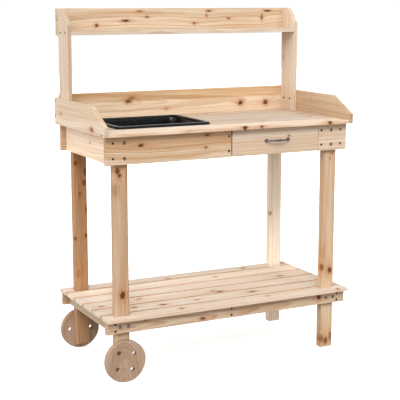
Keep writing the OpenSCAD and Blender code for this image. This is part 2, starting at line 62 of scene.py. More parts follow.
class Net:
    """Short calls that add nodes to one node tree. A value may be a number or a socket."""

    def __init__(self, tree):
        self.tree = tree

    def feed(self, socket, value):
        if isinstance(value, bpy.types.NodeSocket):
            self.tree.links.new(value, socket)
        else:
            socket.default_value = value

    def node(self, kind, inputs, **settings):
        made = self.tree.nodes.new(kind)
        for name, value in settings.items():
            setattr(made, name, value)
        for name, value in inputs.items():
            self.feed(made.inputs[name], value)
        return made

    def math(self, operation, a, b=0.0, c=0.0, clamp=False):
        inputs = {0: a, 1: b, 2: c}
        return self.node("ShaderNodeMath", inputs, operation=operation, use_clamp=clamp).outputs[0]

    def times(self, a, b, clamp=False):
        return self.math("MULTIPLY", a, b, clamp=clamp)

    def plus(self, a, b, clamp=False):
        return self.math("ADD", a, b, clamp=clamp)

    def vector_math(self, operation, inputs):
        return self.node("ShaderNodeVectorMath", inputs, operation=operation).outputs[0]

    def vector(self, x, y, z):
        return self.node("ShaderNodeCombineXYZ", {0: x, 1: y, 2: z}).outputs[0]

    def split(self, vector):
        return list(self.node("ShaderNodeSeparateXYZ", {0: vector}).outputs)

    def stretch(self, vector, x, y, z, offset=(0, 0, 0)):
        return self.vector_math("MULTIPLY_ADD", {0: vector, 1: (x, y, z), 2: offset})

    def noise(self, vector, detail=2.0, rough=0.5):
        inputs = {"Vector": vector, "Scale": 1.0, "Detail": detail, "Roughness": rough}
        return self.node("ShaderNodeTexNoise", inputs).outputs["Fac"]

    def step(self, value, low, high, out_low=0.0, out_high=1.0):
        """A smooth change from out_low to out_high as value goes from low to high."""
        inputs = {0: value, 1: low, 2: high, 3: out_low, 4: out_high}
        made = self.node("ShaderNodeMapRange", inputs, interpolation_type="SMOOTHSTEP")
        return made.outputs[0]

    def mix(self, share, a, b):
        made = self.node("ShaderNodeMix", {}, data_type="RGBA")
        self.feed(made.inputs[0], share)
        self.feed(made.inputs[6], a)
        self.feed(made.inputs[7], b)
        return made.outputs[2]

    def call(self, group, inputs):
        made = self.tree.nodes.new("ShaderNodeGroup")
        made.node_tree = group
        for name, value in inputs.items():
            self.feed(made.inputs[name], value)
        return made.outputs


def new_group(name, inputs, outputs):
    """A shader group and its Net. Inputs and outputs map a name to Float, Vector or Color."""
    tree = bpy.data.node_groups.new(name, "ShaderNodeTree")
    for names, in_out in ((inputs, "INPUT"), (outputs, "OUTPUT")):
        for label, kind in names.items():
            tree.interface.new_socket(label, in_out=in_out, socket_type="NodeSocket" + kind)
    start = tree.nodes.new("NodeGroupInput").outputs
    end = tree.nodes.new("NodeGroupOutput").inputs
    return tree, Net(tree), start, end


def new_material(name):
    """A material with only its shader and output; returns it, its Net and the shader."""
    material = bpy.data.materials.new(name)
    material.use_nodes = True
    net = Net(material.node_tree)
    shader = material.node_tree.nodes["Principled BSDF"]
    return material, net, shader


def add_bump(net, shader, height, distance, strength):
    inputs = {"Height": height, "Distance": distance * MM, "Strength": strength}
    net.feed(shader.inputs["Normal"], net.node("ShaderNodeBump", inputs).outputs[0])


# ---------------------------------------------------------------- timber

def knot_group():
    """One knot. Grain is along, across and through the board, in millimetres. It gives how
    far the rings bend round the knot, how dark it is, how far its stain reaches, and its
    own fine rings."""
    inputs = {"Grain": "Vector", "Place": "Vector", "Radius": "Float", "Long": "Float",
              "Dark": "Float"}
    outputs = {"Bend": "Float", "Core": "Float", "Stain": "Float", "Rim": "Float"}
    tree, net, start, end = new_group("pine_knot", inputs, outputs)
    radius = start["Radius"]
    away = net.vector_math("SUBTRACT", {0: start["Grain"], 1: start["Place"]})
    x, y, z = net.split(away)
    ragged = net.noise(net.stretch(start["Grain"], 0.16, 0.34, 0.34), 3.0, 0.7)
    streak = net.noise(net.stretch(start["Grain"], 0.015, 0.75, 0.75), 2.0, 0.6)
    x = net.math("DIVIDE", net.math("DIVIDE", x, start["Long"]), radius)
    # a knot leans a little as it goes through the board, and ends inside it
    y = net.math("DIVIDE", net.math("MULTIPLY_ADD", z, 0.18, y), radius)
    z = net.math("DIVIDE", z, net.times(radius, 2.6))
    xx, yy, zz = net.times(x, x), net.times(y, y), net.times(z, z)
    far = net.math("SQRT", net.plus(net.plus(xx, yy), zz))
    far = net.times(far, net.times(ragged, 2.0))
    spread = net.plus(net.times(xx, 0.075), net.times(yy, 0.24))
    spread = net.plus(spread, net.times(zz, 0.3))
    bend = net.times(net.math("EXPONENT", net.times(spread, -1.0)), radius)
    core = net.times(net.step(far, 1.12, 0.84), start["Dark"])
    halo = net.times(net.step(far, 3.0, 0.9), 0.85)
    # brown tails run out along the grain on both sides
    tail = net.plus(net.times(xx, 0.05), net.times(yy, 0.9))
    tail = net.math("EXPONENT", net.times(net.plus(tail, zz), -1.0))
    tail = net.times(tail, net.step(streak, 0.38, 0.62))
    stain = net.math("MAXIMUM", halo, tail)
    tree.links.new(net.times(bend, 1.3), end["Bend"])
    tree.links.new(core, end["Core"])
    tree.links.new(net.times(stain, net.math("MULTIPLY_ADD", start["Dark"], 0.45, 0.55)),
                   end["Stain"])
    rings = net.math("SINE", net.times(far, 14.0))
    rim = net.plus(net.step(far, 0.55, 0.95, 0.0, 0.75), net.times(rings, 0.22))
    tree.links.new(net.plus(rim, net.step(far, 0.30, 0.08, 0.0, 0.6)), end["Rim"])
    return tree


KNOT_STAIN = (0.42, 0.155, 0.038, 1)
KNOT_WOOD = (0.11, 0.036, 0.011, 1)
KNOT_RIM = (0.016, 0.007, 0.004, 1)


def pine_group():
    """Pine cut from a log: rings round a wandering pith, fibres, streaks and resin flecks."""
    inputs = {"Grain": "Vector", "Seed": "Float", "Pith": "Vector", "Lean": "Float",
              "Ring": "Float", "Bend": "Float", "Core": "Float", "Stain": "Float",
              "Rim": "Float", "End": "Float", "SawnAndShade": "Float", "Pale": "Color",
              "Contrast": "Float", "Banding": "Float", "Heart": "Float", "HeartSide": "Float"}
    outputs = {"Color": "Color", "Roughness": "Float", "Height": "Float"}
    tree, net, start, end = new_group("pine_board", inputs, outputs)
    grain, seed = start["Grain"], start["Seed"]
    shift = net.vector(net.times(seed, 3.7), net.times(seed, 1.9), seed)

    def sample(along, across, detail, rough=0.5):
        spot = net.stretch(grain, along, across, across)
        return net.noise(net.vector_math("ADD", {0: spot, 1: shift}), detail, rough)

    def centred(value, size):
        return net.times(net.math("SUBTRACT", value, 0.5), size)

    def tint(colour, red, green, blue):
        return net.vector_math("MULTIPLY", {0: colour, 1: (red, green, blue)})

    length, width, depth = net.split(grain)
    pith_l, pith_w, pith_t = net.split(start["Pith"])
    lean = net.times(net.math("SUBTRACT", length, pith_l), start["Lean"])
    across = net.plus(net.math("SUBTRACT", width, pith_w), centred(sample(0.004, 0.006, 1.0), 26.0))
    across = net.plus(across, centred(sample(0.012, 0.05, 2.0), 4.0))
    through = net.plus(net.math("SUBTRACT", depth, pith_t), lean)
    radius = net.math("SQRT", net.plus(net.times(across, across), net.times(through, through)))
    radius = net.math("SUBTRACT", radius, start["Bend"])
    radius = net.plus(radius, centred(sample(0.02, 0.3, 2.0), 1.3))
    # ring widths vary slowly from year to year
    years = net.noise(net.vector(net.times(radius, 0.055), seed, 0.0), 1.0)
    turn = net.math("DIVIDE", radius, start["Ring"])
    turn = net.plus(turn, net.times(years, 3.0))
    part = net.math("FRACT", turn)
    late = net.times(net.step(part, 0.30, 0.88), net.step(part, 1.0, 0.94))
    strong = net.noise(net.vector(net.times(net.math("FLOOR", turn), 0.77), seed, 3.0), 1.0)
    late = net.times(late, net.step(strong, 0.25, 0.75, 0.25, 1.0))
    late = net.times(late, start["Contrast"], clamp=True)
    fibre = sample(0.012, 0.75, 3.0, 0.65)
    hair = sample(0.04, 3.2, 2.0, 0.6)
    # wide bands of redder wood follow the rings; thin ones follow the fibres
    bands = net.vector(net.times(radius, 0.045), net.times(length, 0.0016), seed)
    bands = net.noise(bands, 2.0, 0.6)
    bands = net.times(net.step(bands, 0.42, 0.58), start["Banding"])
    # redder heartwood on one side of a line along the board
    heart = net.times(net.math("SUBTRACT", width, start["Heart"]), start["HeartSide"])
    heart = net.step(net.plus(heart, centred(sample(0.002, 0.03, 2.0), 14.0)), -2.5, 2.5)
    heart = net.times(heart, net.math("ABSOLUTE", start["HeartSide"]))
    heart = net.times(heart, net.step(sample(0.003, 0.09, 2.0), 0.30, 0.55, 0.55, 1.0))
    bands = net.math("MAXIMUM", bands, heart)
    thin = net.times(net.step(sample(0.0025, 0.12, 2.0, 0.55), 0.46, 0.70), 0.5)
    fleck = net.step(sample(0.05, 0.9, 1.0), 0.70, 0.80)
    colour = net.mix(bands, start["Pale"], tint(start["Pale"], 0.80, 0.65, 0.49))
    colour = net.mix(thin, colour, tint(colour, 0.84, 0.73, 0.60))
    colour = net.mix(late, colour, tint(colour, 0.66, 0.49, 0.34))
    shade = net.plus(net.step(fibre, 0.28, 0.72, 0.91, 1.06),
                     net.step(hair, 0.3, 0.7, -0.035, 0.035))
    shade = net.math("SUBTRACT", shade, net.times(fleck, 0.20))
    shade = net.times(shade, net.math("MULTIPLY_ADD", start["End"], -0.14, 1.0))
    # narrow edges darkened and browned: partly their sawn colour, partly painted shade in the gaps
    # between boards
    colour = net.mix(start["SawnAndShade"], colour, tint(colour, 0.70, 0.46, 0.28))
    colour = net.vector_math("SCALE", {0: colour, "Scale": shade})
    # the stain round a knot is red brown; the knot is darkest at its rim and its middle
    stained = net.mix(net.times(start["Stain"], 0.75, clamp=True), colour, KNOT_STAIN)
    knot_colour = net.mix(net.plus(start["Rim"], 0.0, clamp=True), KNOT_WOOD, KNOT_RIM)
    colour = net.mix(start["Core"], stained, knot_colour)
    tree.links.new(colour, end["Color"])
    rough = net.math("MULTIPLY_ADD", late, -0.07, 0.62)
    rough = net.plus(rough, centred(fibre, 0.16))
    tree.links.new(net.math("MULTIPLY_ADD", start["Core"], -0.14, rough), end["Roughness"])
    height = net.plus(net.times(late, 0.28), net.times(fibre, 0.6))
    height = net.plus(height, net.times(hair, 0.25))
    tree.links.new(net.math("MULTIPLY_ADD", start["Core"], 0.35, height), end["Height"])
    return tree


PINE = pine_group()
KNOT = knot_group()

# Linear colours of the paler wood in each cut of timber
TONES = {
    "bright": (0.84, 0.72, 0.60),
    "cream": (0.73, 0.61, 0.49),
    "pale": (0.69, 0.555, 0.415),
    "warm": (0.66, 0.50, 0.35),
    "drab": (0.60, 0.46, 0.335),
    "tan": (0.56, 0.40, 0.27),
    "brown": (0.49, 0.30, 0.17),
    "grey": (0.46, 0.335, 0.25),
}
# How much darker or lighter each board is than its tone: partly the board's own colour, partly
# painted light and shade. Worktop boards 2 to 5 are darkened as painted shade for the shadow cast
# across the worktop, and the rear-right leg and the splash back are lightened as painted light where
# shade falls on them.
SHADES = {
    "apron_rear": 1.08, "apron_side_left": 1.24, "drawer_front": 0.97, "hutch_back": 0.97,
    "hutch_shelf": 0.92, "leg_front_left": 0.95, "leg_front_right": 0.95,
    "leg_rear_left": 0.93, "leg_rear_right": 1.17, "post_left": 0.87, "post_right": 0.94,
    "rail_front": 0.98, "rail_left": 0.70, "side_board_left": 0.96, "side_board_right": 0.84,
    "slat_1": 0.90, "slat_2": 1.02, "slat_3": 0.92, "slat_4": 0.92, "slat_5": 0.88,
    "slat_6": 0.90, "splash_back": 1.08, "wheel_front": 0.90, "wheel_rear": 0.94,
    "worktop_board_2": 0.75, "worktop_board_3": 0.75, "worktop_board_4": 0.75,
    "worktop_board_5": 0.75,
}


def timber(name, box, along, face, tone, seed, knots=(), ring=6.5, contrast=0.6,
           banding=0.45, figure="plain", slope=0.045, shade=1.0, heart=None, sawn=0.18):
    """The material of one board. along is the axis of its grain and face the axis through
    it; a knot is (share along, share across, radius in mm, length to width, darkness).
    heart is (share of the width, side) where redder wood begins, and sawn is how much the narrow
    edges are darkened and browned: partly their real sawn colour, partly painted shade where they
    sit in gaps and under overhangs."""
    material, net, shader = new_material(name)
    low, high = box
    rng = random.Random(seed)
    a, t = AXES.index(along), AXES.index(face)
    w = 3 - a - t
    size = [(high[i] - low[i]) / MM for i in range(3)]
    centre = (low + high) / 2
    place = net.node("ShaderNodeTexCoord", {})
    local = net.vector_math("SUBTRACT", {0: place.outputs["Object"], 1: centre})
    parts = net.split(local)
    grain = net.vector(parts[a], parts[w], parts[t])
    grain = net.vector_math("SCALE", {0: grain, "Scale": 1 / MM})
    # knots come up to the face that is seen: the front, the top or the outside
    seen = 0.4 * size[t] * (1 if face == "z" or (face == "x" and centre.x > 0) else -1)
    bend, core, stain, rim = 0.0, 0.0, 0.0, 0.0
    for share_a, share_w, radius, long, dark in knots:
        spot = ((share_a - 0.5) * size[a], (share_w - 0.5) * size[w], seen)
        knot = net.call(KNOT, {"Grain": grain, "Place": spot, "Radius": radius, "Long": long,
                               "Dark": dark})
        bend = net.plus(bend, knot["Bend"])
        in_knot = net.math("GREATER_THAN", knot["Core"], 0.01)
        rim = net.plus(rim, net.times(knot["Rim"], in_knot))
        core = net.math("MAXIMUM", core, knot["Core"])
        stain = net.math("MAXIMUM", stain, knot["Stain"])
    normal = net.split(place.outputs["Normal"])
    end = net.step(net.math("ABSOLUTE", normal[a]), 0.6, 0.9)
    # mask of the narrow edges: partly sawn colour, partly painted shade
    edge = net.step(net.math("ABSOLUTE", normal[w]), 0.45, 0.9, 0.0, sawn)
    heart_edge, heart_side = heart or (0.5, 0)
    pale = [min(channel * shade, 0.95) for channel in TONES[tone]] + [1.0]
    side = rng.choice((-1, 1))
    if figure == "plain":
        offset, lean = side * rng.uniform(0.6, 1.1) * size[w], rng.uniform(0.004, 0.02)
    else:
        offset, lean = side * rng.uniform(0.0, 0.10) * size[w], slope
    # on a board cut near the pith the rings make arches that close near one end
    pith_along, pith_through = rng.uniform(-0.1, 0.1) * size[a], -(10 + lean * size[a] / 2)
    if figure == "plain":
        pith_through = -rng.uniform(18, 40)
    pith = (pith_along, offset, pith_through)
    out = net.call(PINE, {
        "Grain": grain, "Seed": rng.uniform(0, 90), "Pith": pith, "Ring": ring,
        "Lean": lean, "Bend": bend, "Core": core, "Stain": stain, "Rim": rim, "End": end,
        "SawnAndShade": edge, "Pale": pale, "Contrast": contrast, "Banding": banding,
        "Heart": (heart_edge - 0.5) * size[w], "HeartSide": heart_side})
    net.feed(shader.inputs["Base Color"], out["Color"])
    net.feed(shader.inputs["Roughness"], out["Roughness"])
    add_bump(net, shader, out["Height"], 0.4, 0.5)
    shader.inputs["Specular IOR Level"].default_value = 0.15
    return material


# ---------------------------------------------------------------- other materials

def steel(name, colour, rough, metallic, wear):
    """Plated or blackened steel: a mottled finish with fine turning marks and worn spots."""
    material, net, shader = new_material(name)
    place = net.node("ShaderNodeTexCoord", {}).outputs["Object"]
    mottle = net.noise(net.stretch(place, 420, 420, 420), 3.0, 0.6)
    marks = net.noise(net.stretch(place, 1800, 1800, 5200), 2.0, 0.5)
    dark = tuple(0.72 * c for c in colour) + (1.0,)
    tint = net.mix(net.step(mottle, 0.3, 0.7), dark, (*colour, 1.0))
    tint = net.mix(net.step(mottle, 0.62, 0.75), tint, (*wear, 1.0))
    net.feed(shader.inputs["Base Color"], tint)
    net.feed(shader.inputs["Roughness"],
             net.math("MULTIPLY_ADD", mottle, 0.22, rough - 0.11))
    add_bump(net, shader, marks, 0.05, 0.35)
    shader.inputs["Metallic"].default_value = metallic
    return material


def basin_plastic(top):
    """Glossy black moulded plastic with a faint orange-peel surface and light scuffs. The flat top
    of the flange is painted grey, patchy along the scuffs: a painted highlight for the light that it
    reflects."""
    material, net, shader = new_material("basin_plastic")
    place = net.node("ShaderNodeTexCoord", {}).outputs["Object"]
    peel = net.noise(net.stretch(place, 260, 260, 260), 2.0, 0.5)
    scuff = net.noise(net.stretch(place, 40, 190, 60), 4.0, 0.7)
    dust = net.step(net.noise(net.stretch(place, 9, 9, 9), 3.0, 0.6), 0.42, 0.75)
    tint = net.mix(net.times(dust, 0.5), (0.004, 0.004, 0.004, 1), (0.009, 0.009, 0.009, 1))
    # painted highlight: the flat top of the flange is painted grey, patchy along the scuffs, for the
    # light that glances off it
    flange_highlight = net.step(net.split(place)[2], top - 1.2 * MM, top - 0.2 * MM)
    tint = net.mix(net.times(flange_highlight, net.step(scuff, 0.2, 0.7, 0.7, 1.0)), tint,
                   (0.16, 0.16, 0.165, 1))
    net.feed(shader.inputs["Base Color"], tint)
    net.feed(shader.inputs["Roughness"], net.step(scuff, 0.35, 0.8, 0.17, 0.36))
    add_bump(net, shader, peel, 0.12, 0.25)
    shader.inputs["Specular IOR Level"].default_value = 0.2
    return material


FLOOR_GLOW = 0.66


def floor_paint():
    """A plain pale floor with a barely visible mottle. It glows, so that it stays pale."""
    material, net, shader = new_material("studio_floor")
    place = net.node("ShaderNodeTexCoord", {}).outputs["Object"]
    cloud = net.noise(net.stretch(place, 1.3, 1.3, 1.3), 2.0, 0.5)
    net.feed(shader.inputs["Base Color"],
             net.mix(cloud, (0.96, 0.96, 0.96, 1), (0.98, 0.98, 0.98, 1)))
    shader.inputs["Roughness"].default_value = 0.9
    shader.inputs["Specular IOR Level"].default_value = 0.1
    shader.inputs["Emission Color"].default_value = (1, 1, 1, 1)
    shader.inputs["Emission Strength"].default_value = FLOOR_GLOW
    return material


# ---------------------------------------------------------------- mesh building blocks

def add_object(name, bm, material):
    """Puts a finished bmesh into the scene as one object."""
    mesh = bpy.data.meshes.new(name)
    bmesh.ops.recalc_face_normals(bm, faces=bm.faces)
    bm.to_mesh(mesh)
    bm.free()
    mesh.materials.append(material)
    obj = bpy.data.objects.new(name, mesh)
    bpy.context.scene.collection.objects.link(obj)
    return obj


def settle(obj):
    """Turns an object's modifiers into its mesh."""
    bpy.context.view_layer.update()
    seen = obj.evaluated_get(bpy.context.evaluated_depsgraph_get())
    mesh = bpy.data.meshes.new_from_object(seen)
    obj.modifiers.clear()
    obj.data = mesh


def round_off(obj, degrees=38):
    """Smooth shading across gentle corners, flat across sharp ones."""
    obj.data.shade_smooth()
    obj.data.set_sharp_from_angle(angle=math.radians(degrees))
    weighted = obj.modifiers.new("weighted", "WEIGHTED_NORMAL")
    weighted.keep_sharp = True


def carve(obj, cutters):
    """Takes the cutters' mesh away from an object."""
    if cutters is None:
        return
    tool = add_object("cutter", cutters, obj.data.materials[0])
    cut = obj.modifiers.new("carve", "BOOLEAN")
    cut.operation = "DIFFERENCE"
    cut.solver = "MANIFOLD"
    cut.object = tool
    settle(obj)
    bpy.data.objects.remove(tool)


def skin(bm, ring_a, ring_b, count):
    """Faces between two rings of count points; a ring of one point makes triangles."""
    for k in range(count):
        quad = [ring_a[k % len(ring_a)], ring_a[(k + 1) % len(ring_a)],
                ring_b[(k + 1) % len(ring_b)], ring_b[k % len(ring_b)]]
        corners = list(dict.fromkeys(quad))
        if len(corners) > 2:
            bm.faces.new(corners)


def spin(bm, profile, count, matrix):
    """Adds the closed solid that a profile of (radius, height) points makes round Z."""
    rings = []
    for radius, height in profile:
        if radius < 1e-7:
            rings.append([bm.verts.new(matrix @ Vector((0, 0, height)))])
            continue
        ring = []
        for k in range(count):
            angle = 2 * math.pi * k / count
            spot = Vector((radius * math.cos(angle), radius * math.sin(angle), height))
            ring.append(bm.verts.new(matrix @ spot))
        rings.append(ring)
    for ring_a, ring_b in zip(rings, rings[1:]):
        skin(bm, ring_a, ring_b, count)


def towards(direction):
    """The turn that takes +Z to a direction."""
    return Vector(direction).to_track_quat("Z", "Y").to_matrix().to_4x4()


def solids_of(node):
    """The separate solids of a CAD node, each as a list of its points."""
    bm = bmesh.new()
    bm.from_mesh(frame["nodes"][node].data)
    bmesh.ops.remove_doubles(bm, verts=bm.verts, dist=1e-6)
    left, found = set(bm.verts), []
    while left:
        stack, points = [left.pop()], []
        while stack:
            vert = stack.pop()
            points.append(vert.co.copy())
            for edge in vert.link_edges:
                other = edge.other_vert(vert)
                if other in left:
                    left.remove(other)
                    stack.append(other)
        found.append(points)
    bm.free()
    return found


def screw_heads(node):
    """(middle of the head's face, direction out of the board) of each screw in a node."""
    heads = []
    for points in solids_of(node):
        low = [min(p[i] for p in points) for i in range(3)]
        high = [max(p[i] for p in points) for i in range(3)]
        axis = max(range(3), key=lambda i: high[i] - low[i])
        side = (axis + 1) % 3
        spread = {}
        for sign, edge in ((-1, low[axis]), (1, high[axis])):
            near = [p[side] for p in points if abs(p[axis] - edge) < 0.3 * MM]
            spread[sign] = max(near) - min(near)
        sign = max(spread, key=spread.get)
        middle = Vector([(low[i] + high[i]) / 2 for i in range(3)])
        middle[axis] = high[axis] if sign > 0 else low[axis]
        outward = Vector((0, 0, 0))
        outward[axis] = sign
        heads.append((middle, outward))
    return heads


# ---------------------------------------------------------------- boards

EDGE = 1.6 * MM
SLICE = 24 * MM
WAVE = 0.35 * MM
WAVES_PER_METRE = 28
SCREW_NODES = ("frame_screws", "side_board_screws", "hutch_screws")
HEADS = [head for node in SCREW_NODES for head in screw_heads(node)]
# (radius, height) in millimetres, measured from the face of the screw's head
RECESS = ((0, -2.6), (1.9, -2.6), (5.0, 0.25), (5.3, 1.5), (0, 1.5))


def holes_for(low, high):
    """A cutter with one countersunk recess for each screw head that lies in a box's face."""
    bm = bmesh.new()
    for middle, outward in HEADS:
        if all(low[i] - 0.1 * MM <= middle[i] <= high[i] + 0.1 * MM for i in range(3)):
            profile = [(r * MM, z * MM) for r, z in RECESS]
            spin(bm, profile, 24, Matrix.Translation(middle) @ towards(outward))
    if bm.verts:
        return bm
    bm.free()
    return None


def rectangle(low, high, a, w):
    """The outline of a plain board, in its along and across directions."""
    return [(low[a], low[w]), (high[a], low[w]), (high[a], high[w]), (low[a], high[w])]


def board_mesh(outline, low, high, a, w, edge, seed):
    """A board from its outline: eased edges, then slightly uneven faces."""
    t = 3 - a - w
    bm = bmesh.new()
    corners = []
    for along, across in outline:
        spot = Vector((0, 0, 0))
        spot[a], spot[w], spot[t] = along, across, low[t]
        corners.append(bm.verts.new(spot))
    base = bm.faces.new(corners)
    raised = bmesh.ops.extrude_face_region(bm, geom=[base])["geom"]
    lift = Vector((0, 0, 0))
    lift[t] = high[t] - low[t]
    bmesh.ops.translate(bm, vec=lift, verts=[v for v in raised if isinstance(v, bmesh.types.BMVert)])
    bmesh.ops.recalc_face_normals(bm, faces=bm.faces)
    bmesh.ops.bevel(bm, geom=bm.edges[:], offset=edge, segments=3, profile=0.5,
                    affect="EDGES", clamp_overlap=True)
    for axis, pace in ((a, SLICE), (w, 1.4 * SLICE)):
        across = Vector((0, 0, 0))
        across[axis] = 1
        count = int((high[axis] - low[axis]) / pace)
        for k in range(1, count):
            spot = low.copy()
            spot[axis] += (high[axis] - low[axis]) * k / count
            everything = bm.verts[:] + bm.edges[:] + bm.faces[:]
            bmesh.ops.bisect_plane(bm, geom=everything, plane_co=spot, plane_no=across)
    # with a fixed seed every run gives the same unevenness
    noise.seed_set(1)
    offset = Vector((seed * 0.37, seed * 0.11, seed * 0.73))
    for vert in bm.verts:
        push = noise.noise_vector(vert.co * WAVES_PER_METRE + offset) * WAVE
        for i in range(3):
            vert.co[i] = min(max(vert.co[i] + push[i], low[i]), high[i])
    return bm


def make_board(node, along, face, tone, knots=(), outline=None, edge=EDGE, **looks):
    """Replaces one CAD board with its detailed piece."""
    low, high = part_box(node)
    a, t = AXES.index(along), AXES.index(face)
    w = 3 - a - t
    seed = sum(ord(letter) * (k + 1) for k, letter in enumerate(node)) % 997
    material = timber("pine_" + node, (low, high), along, face, tone, seed, knots,
                      shade=SHADES.get(node, 1.0), **looks)
    bm = board_mesh(outline or rectangle(low, high, a, w), low, high, a, w, edge, seed)
    obj = add_object(node + "_board", bm, material)
    carve(obj, holes_for(low, high))
    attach(obj, BODY_OF[node])
    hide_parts(node)


# A knot is (share along the board, share across it, radius in mm, length to width, darkness)
LEGS = {
    "leg_front_left": ("drab", [
        (0.34, 0.52, 8.5, 1.4, 1.0), (0.86, 0.25, 8.0, 1.2, 0.9), (0.84, 0.40, 6.0, 1.0, 0.9),
        (0.78, 0.10, 7.0, 2.6, 0.25), (0.84, 0.98, 3.5, 7.0, 0.7)]),
    "leg_front_right": ("warm", [
        (0.35, 0.66, 8.0, 1.4, 0.9), (0.365, 0.04, 5.0, 2.2, 0.7), (0.435, 0.10, 4.0, 5.0, 0.2),
        (0.03, 0.45, 9.0, 1.3, 0.75), (0.045, 0.85, 7.0, 2.4, 0.6), (0.04, 0.1, 6.0, 2.2, 0.6),
        (0.87, 0.68, 2.6, 1.2, 0.9), (0.85, 0.51, 2.3, 1.2, 0.9)]),
    "leg_rear_left": ("brown", [
        (0.83, 0.15, 6.0, 1.4, 0.8), (0.74, 0.78, 7.0, 1.4, 0.7), (0.69, 0.44, 5.0, 1.8, 0.5),
        (0.50, 0.85, 5.0, 1.6, 0.8), (0.49, 0.04, 4.0, 1.4, 0.8), (0.33, 0.2, 7.0, 1.8, 0.25),
        (0.79, 0.85, 4.0, 3.5, 0.8), (0.62, 0.9, 4.0, 3.0, 0.7)]),
    "leg_rear_right": ("bright", [(0.53, 0.05, 3.0, 2.0, 0.5)]),
}
APRONS = {
    "apron_front_left": ("pale", [
        (0.27, 0.65, 4.5, 1.8, 1.0), (0.80, 0.87, 3.8, 1.4, 0.8), (0.79, 0.42, 3.4, 1.4, 0.7)]),
    "apron_front_right": ("cream", []),
    "apron_rear": ("tan", [(0.22, 0.6, 6.0, 1.4, 0.9), (0.68, 0.35, 5.0, 1.3, 0.8)]),
}
# Heartwood lies beyond this share of the width, on the side that the sign gives
LEG_HEARTS = {"leg_front_left": (0.62, 0.8), "leg_rear_left": (0.4, 0.6)}


def make_legs():
    for node, (tone, knots) in LEGS.items():
        banding = 0.15 if node == "leg_rear_right" else 0.45
        make_board(node, "z", "y", tone, knots, edge=2.2 * MM, banding=banding, contrast=0.7,
                   heart=LEG_HEARTS.get(node))


def make_aprons():
    for node, (tone, knots) in APRONS.items():
        if node == "apron_front_left":
            make_board(node, "x", "y", tone, knots, banding=0.8, contrast=0.8, heart=(0.48, 1.0))
        else:
            make_board(node, "x", "y", tone, knots, banding=0.4)
    make_board("apron_side_left", "y", "x", "cream", [(0.42, 0.58, 2.6, 1.3, 0.7)])
    make_board("apron_side_right", "y", "x", "pale", [(0.6, 0.4, 5.0, 1.3, 0.9)])


def make_inner_frame():
    for node in ("divider_left", "divider_right", "cross_rail"):
        make_board(node, "y", "x", "tan")
    for node in ("drawer_runner_left", "drawer_runner_right"):
        make_runner(node)
    make_board("drawer_stop", "x", "y", "tan")
    make_board("worktop_batten", "y", "x", "tan")


def make_runner(node):
    """An L-shaped runner: its outline is its end, so it runs along Y."""
    low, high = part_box(node)
    foot = low.z + 13 * MM
    upright = 8 * MM
    outer, inner = (low.x, high.x) if node.endswith("left") else (high.x, low.x)
    step = outer + math.copysign(upright, inner - outer)
    outline = [(outer, low.z), (inner, low.z), (inner, foot), (step, foot),
               (step, high.z), (outer, high.z)]
    seed = len(node)
    material = timber("pine_" + node, (low, high), "y", "x", "tan", seed)
    bm = board_mesh(outline, low, high, 0, 2, EDGE, seed)
    obj = add_object(node + "_board", bm, material)
    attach(obj, BODY_OF[node])
    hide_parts(node)


# The basin's opening in the worktop, set in from the edge of the basin's rim
RIM_LAP_X = 10 * MM
RIM_LAP_Y = 8 * MM
TOPS = {
    "worktop_board_1": ("bright", [
        (0.54, 0.03, 6.5, 1.3, 1.0), (0.61, 0.0, 4.0, 1.4, 0.8), (0.91, 0.04, 6.5, 1.1, 1.0)]),
    "worktop_board_2": ("bright", [(0.71, 0.52, 3.0, 2.2, 0.7), (0.94, 0.93, 4.0, 2.2, 0.6)]),
    "worktop_board_3": ("bright", [(0.93, 0.93, 5.0, 2.4, 0.8)]),
    "worktop_board_4": ("bright", []),
    "worktop_board_5": ("bright", [(0.62, 0.7, 4.0, 1.6, 0.7)]),
}


def opening():
    """Left, front, right and rear edge of the basin's opening."""
    low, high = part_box("sink_basin")
    return low.x + RIM_LAP_X, low.y + RIM_LAP_Y, high.x - RIM_LAP_X, high.y - RIM_LAP_Y


def notched(low, high):
    """The outline of a worktop board that the opening cuts into from one side."""
    left, front, right, rear = opening()
    outline = rectangle(low, high, 0, 1)
    if low.y < front < high.y:
        return outline[:3] + [(right, high.y), (right, front), (left, front), (left, high.y),
                              outline[3]]
    if low.y < rear < high.y:
        return [outline[0], (left, low.y), (left, rear), (right, rear), (right, low.y)] + outline[1:]
    return outline


def make_worktop():
    for node, (tone, knots) in TOPS.items():
        low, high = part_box(node)
        make_board(node, "x", "z", tone, knots, outline=notched(low, high), contrast=0.5,
                   sawn=0.3)
    make_stubs()
    make_board("hutch_shelf", "x", "z", "cream", sawn=0.0, banding=0.2)


def make_stubs():
    """The two short boards left of the basin, as one piece of two solids."""
    low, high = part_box("worktop_stubs")
    middle = (low.y + high.y) / 2
    seam = 0.3 * MM
    material = timber("pine_worktop_stubs", (low, high), "x", "z", "cream", 41)
    obj = None
    for y0, y1 in ((low.y, middle - seam), (middle + seam, high.y)):
        part_low, part_high = Vector((low.x, y0, low.z)), Vector((high.x, y1, high.z))
        bm = board_mesh(rectangle(part_low, part_high, 0, 1), part_low, part_high, 0, 1, EDGE, 7)
        if obj is not None:
            bm.from_mesh(obj.data)
            bpy.data.objects.remove(obj)
        obj = add_object("worktop_stubs_board", bm, material)
    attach(obj, "frame")
    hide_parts("worktop_stubs")


SIDE_CUT = (110 * MM, 57 * MM)
POST_CUT = (50 * MM, 54 * MM)


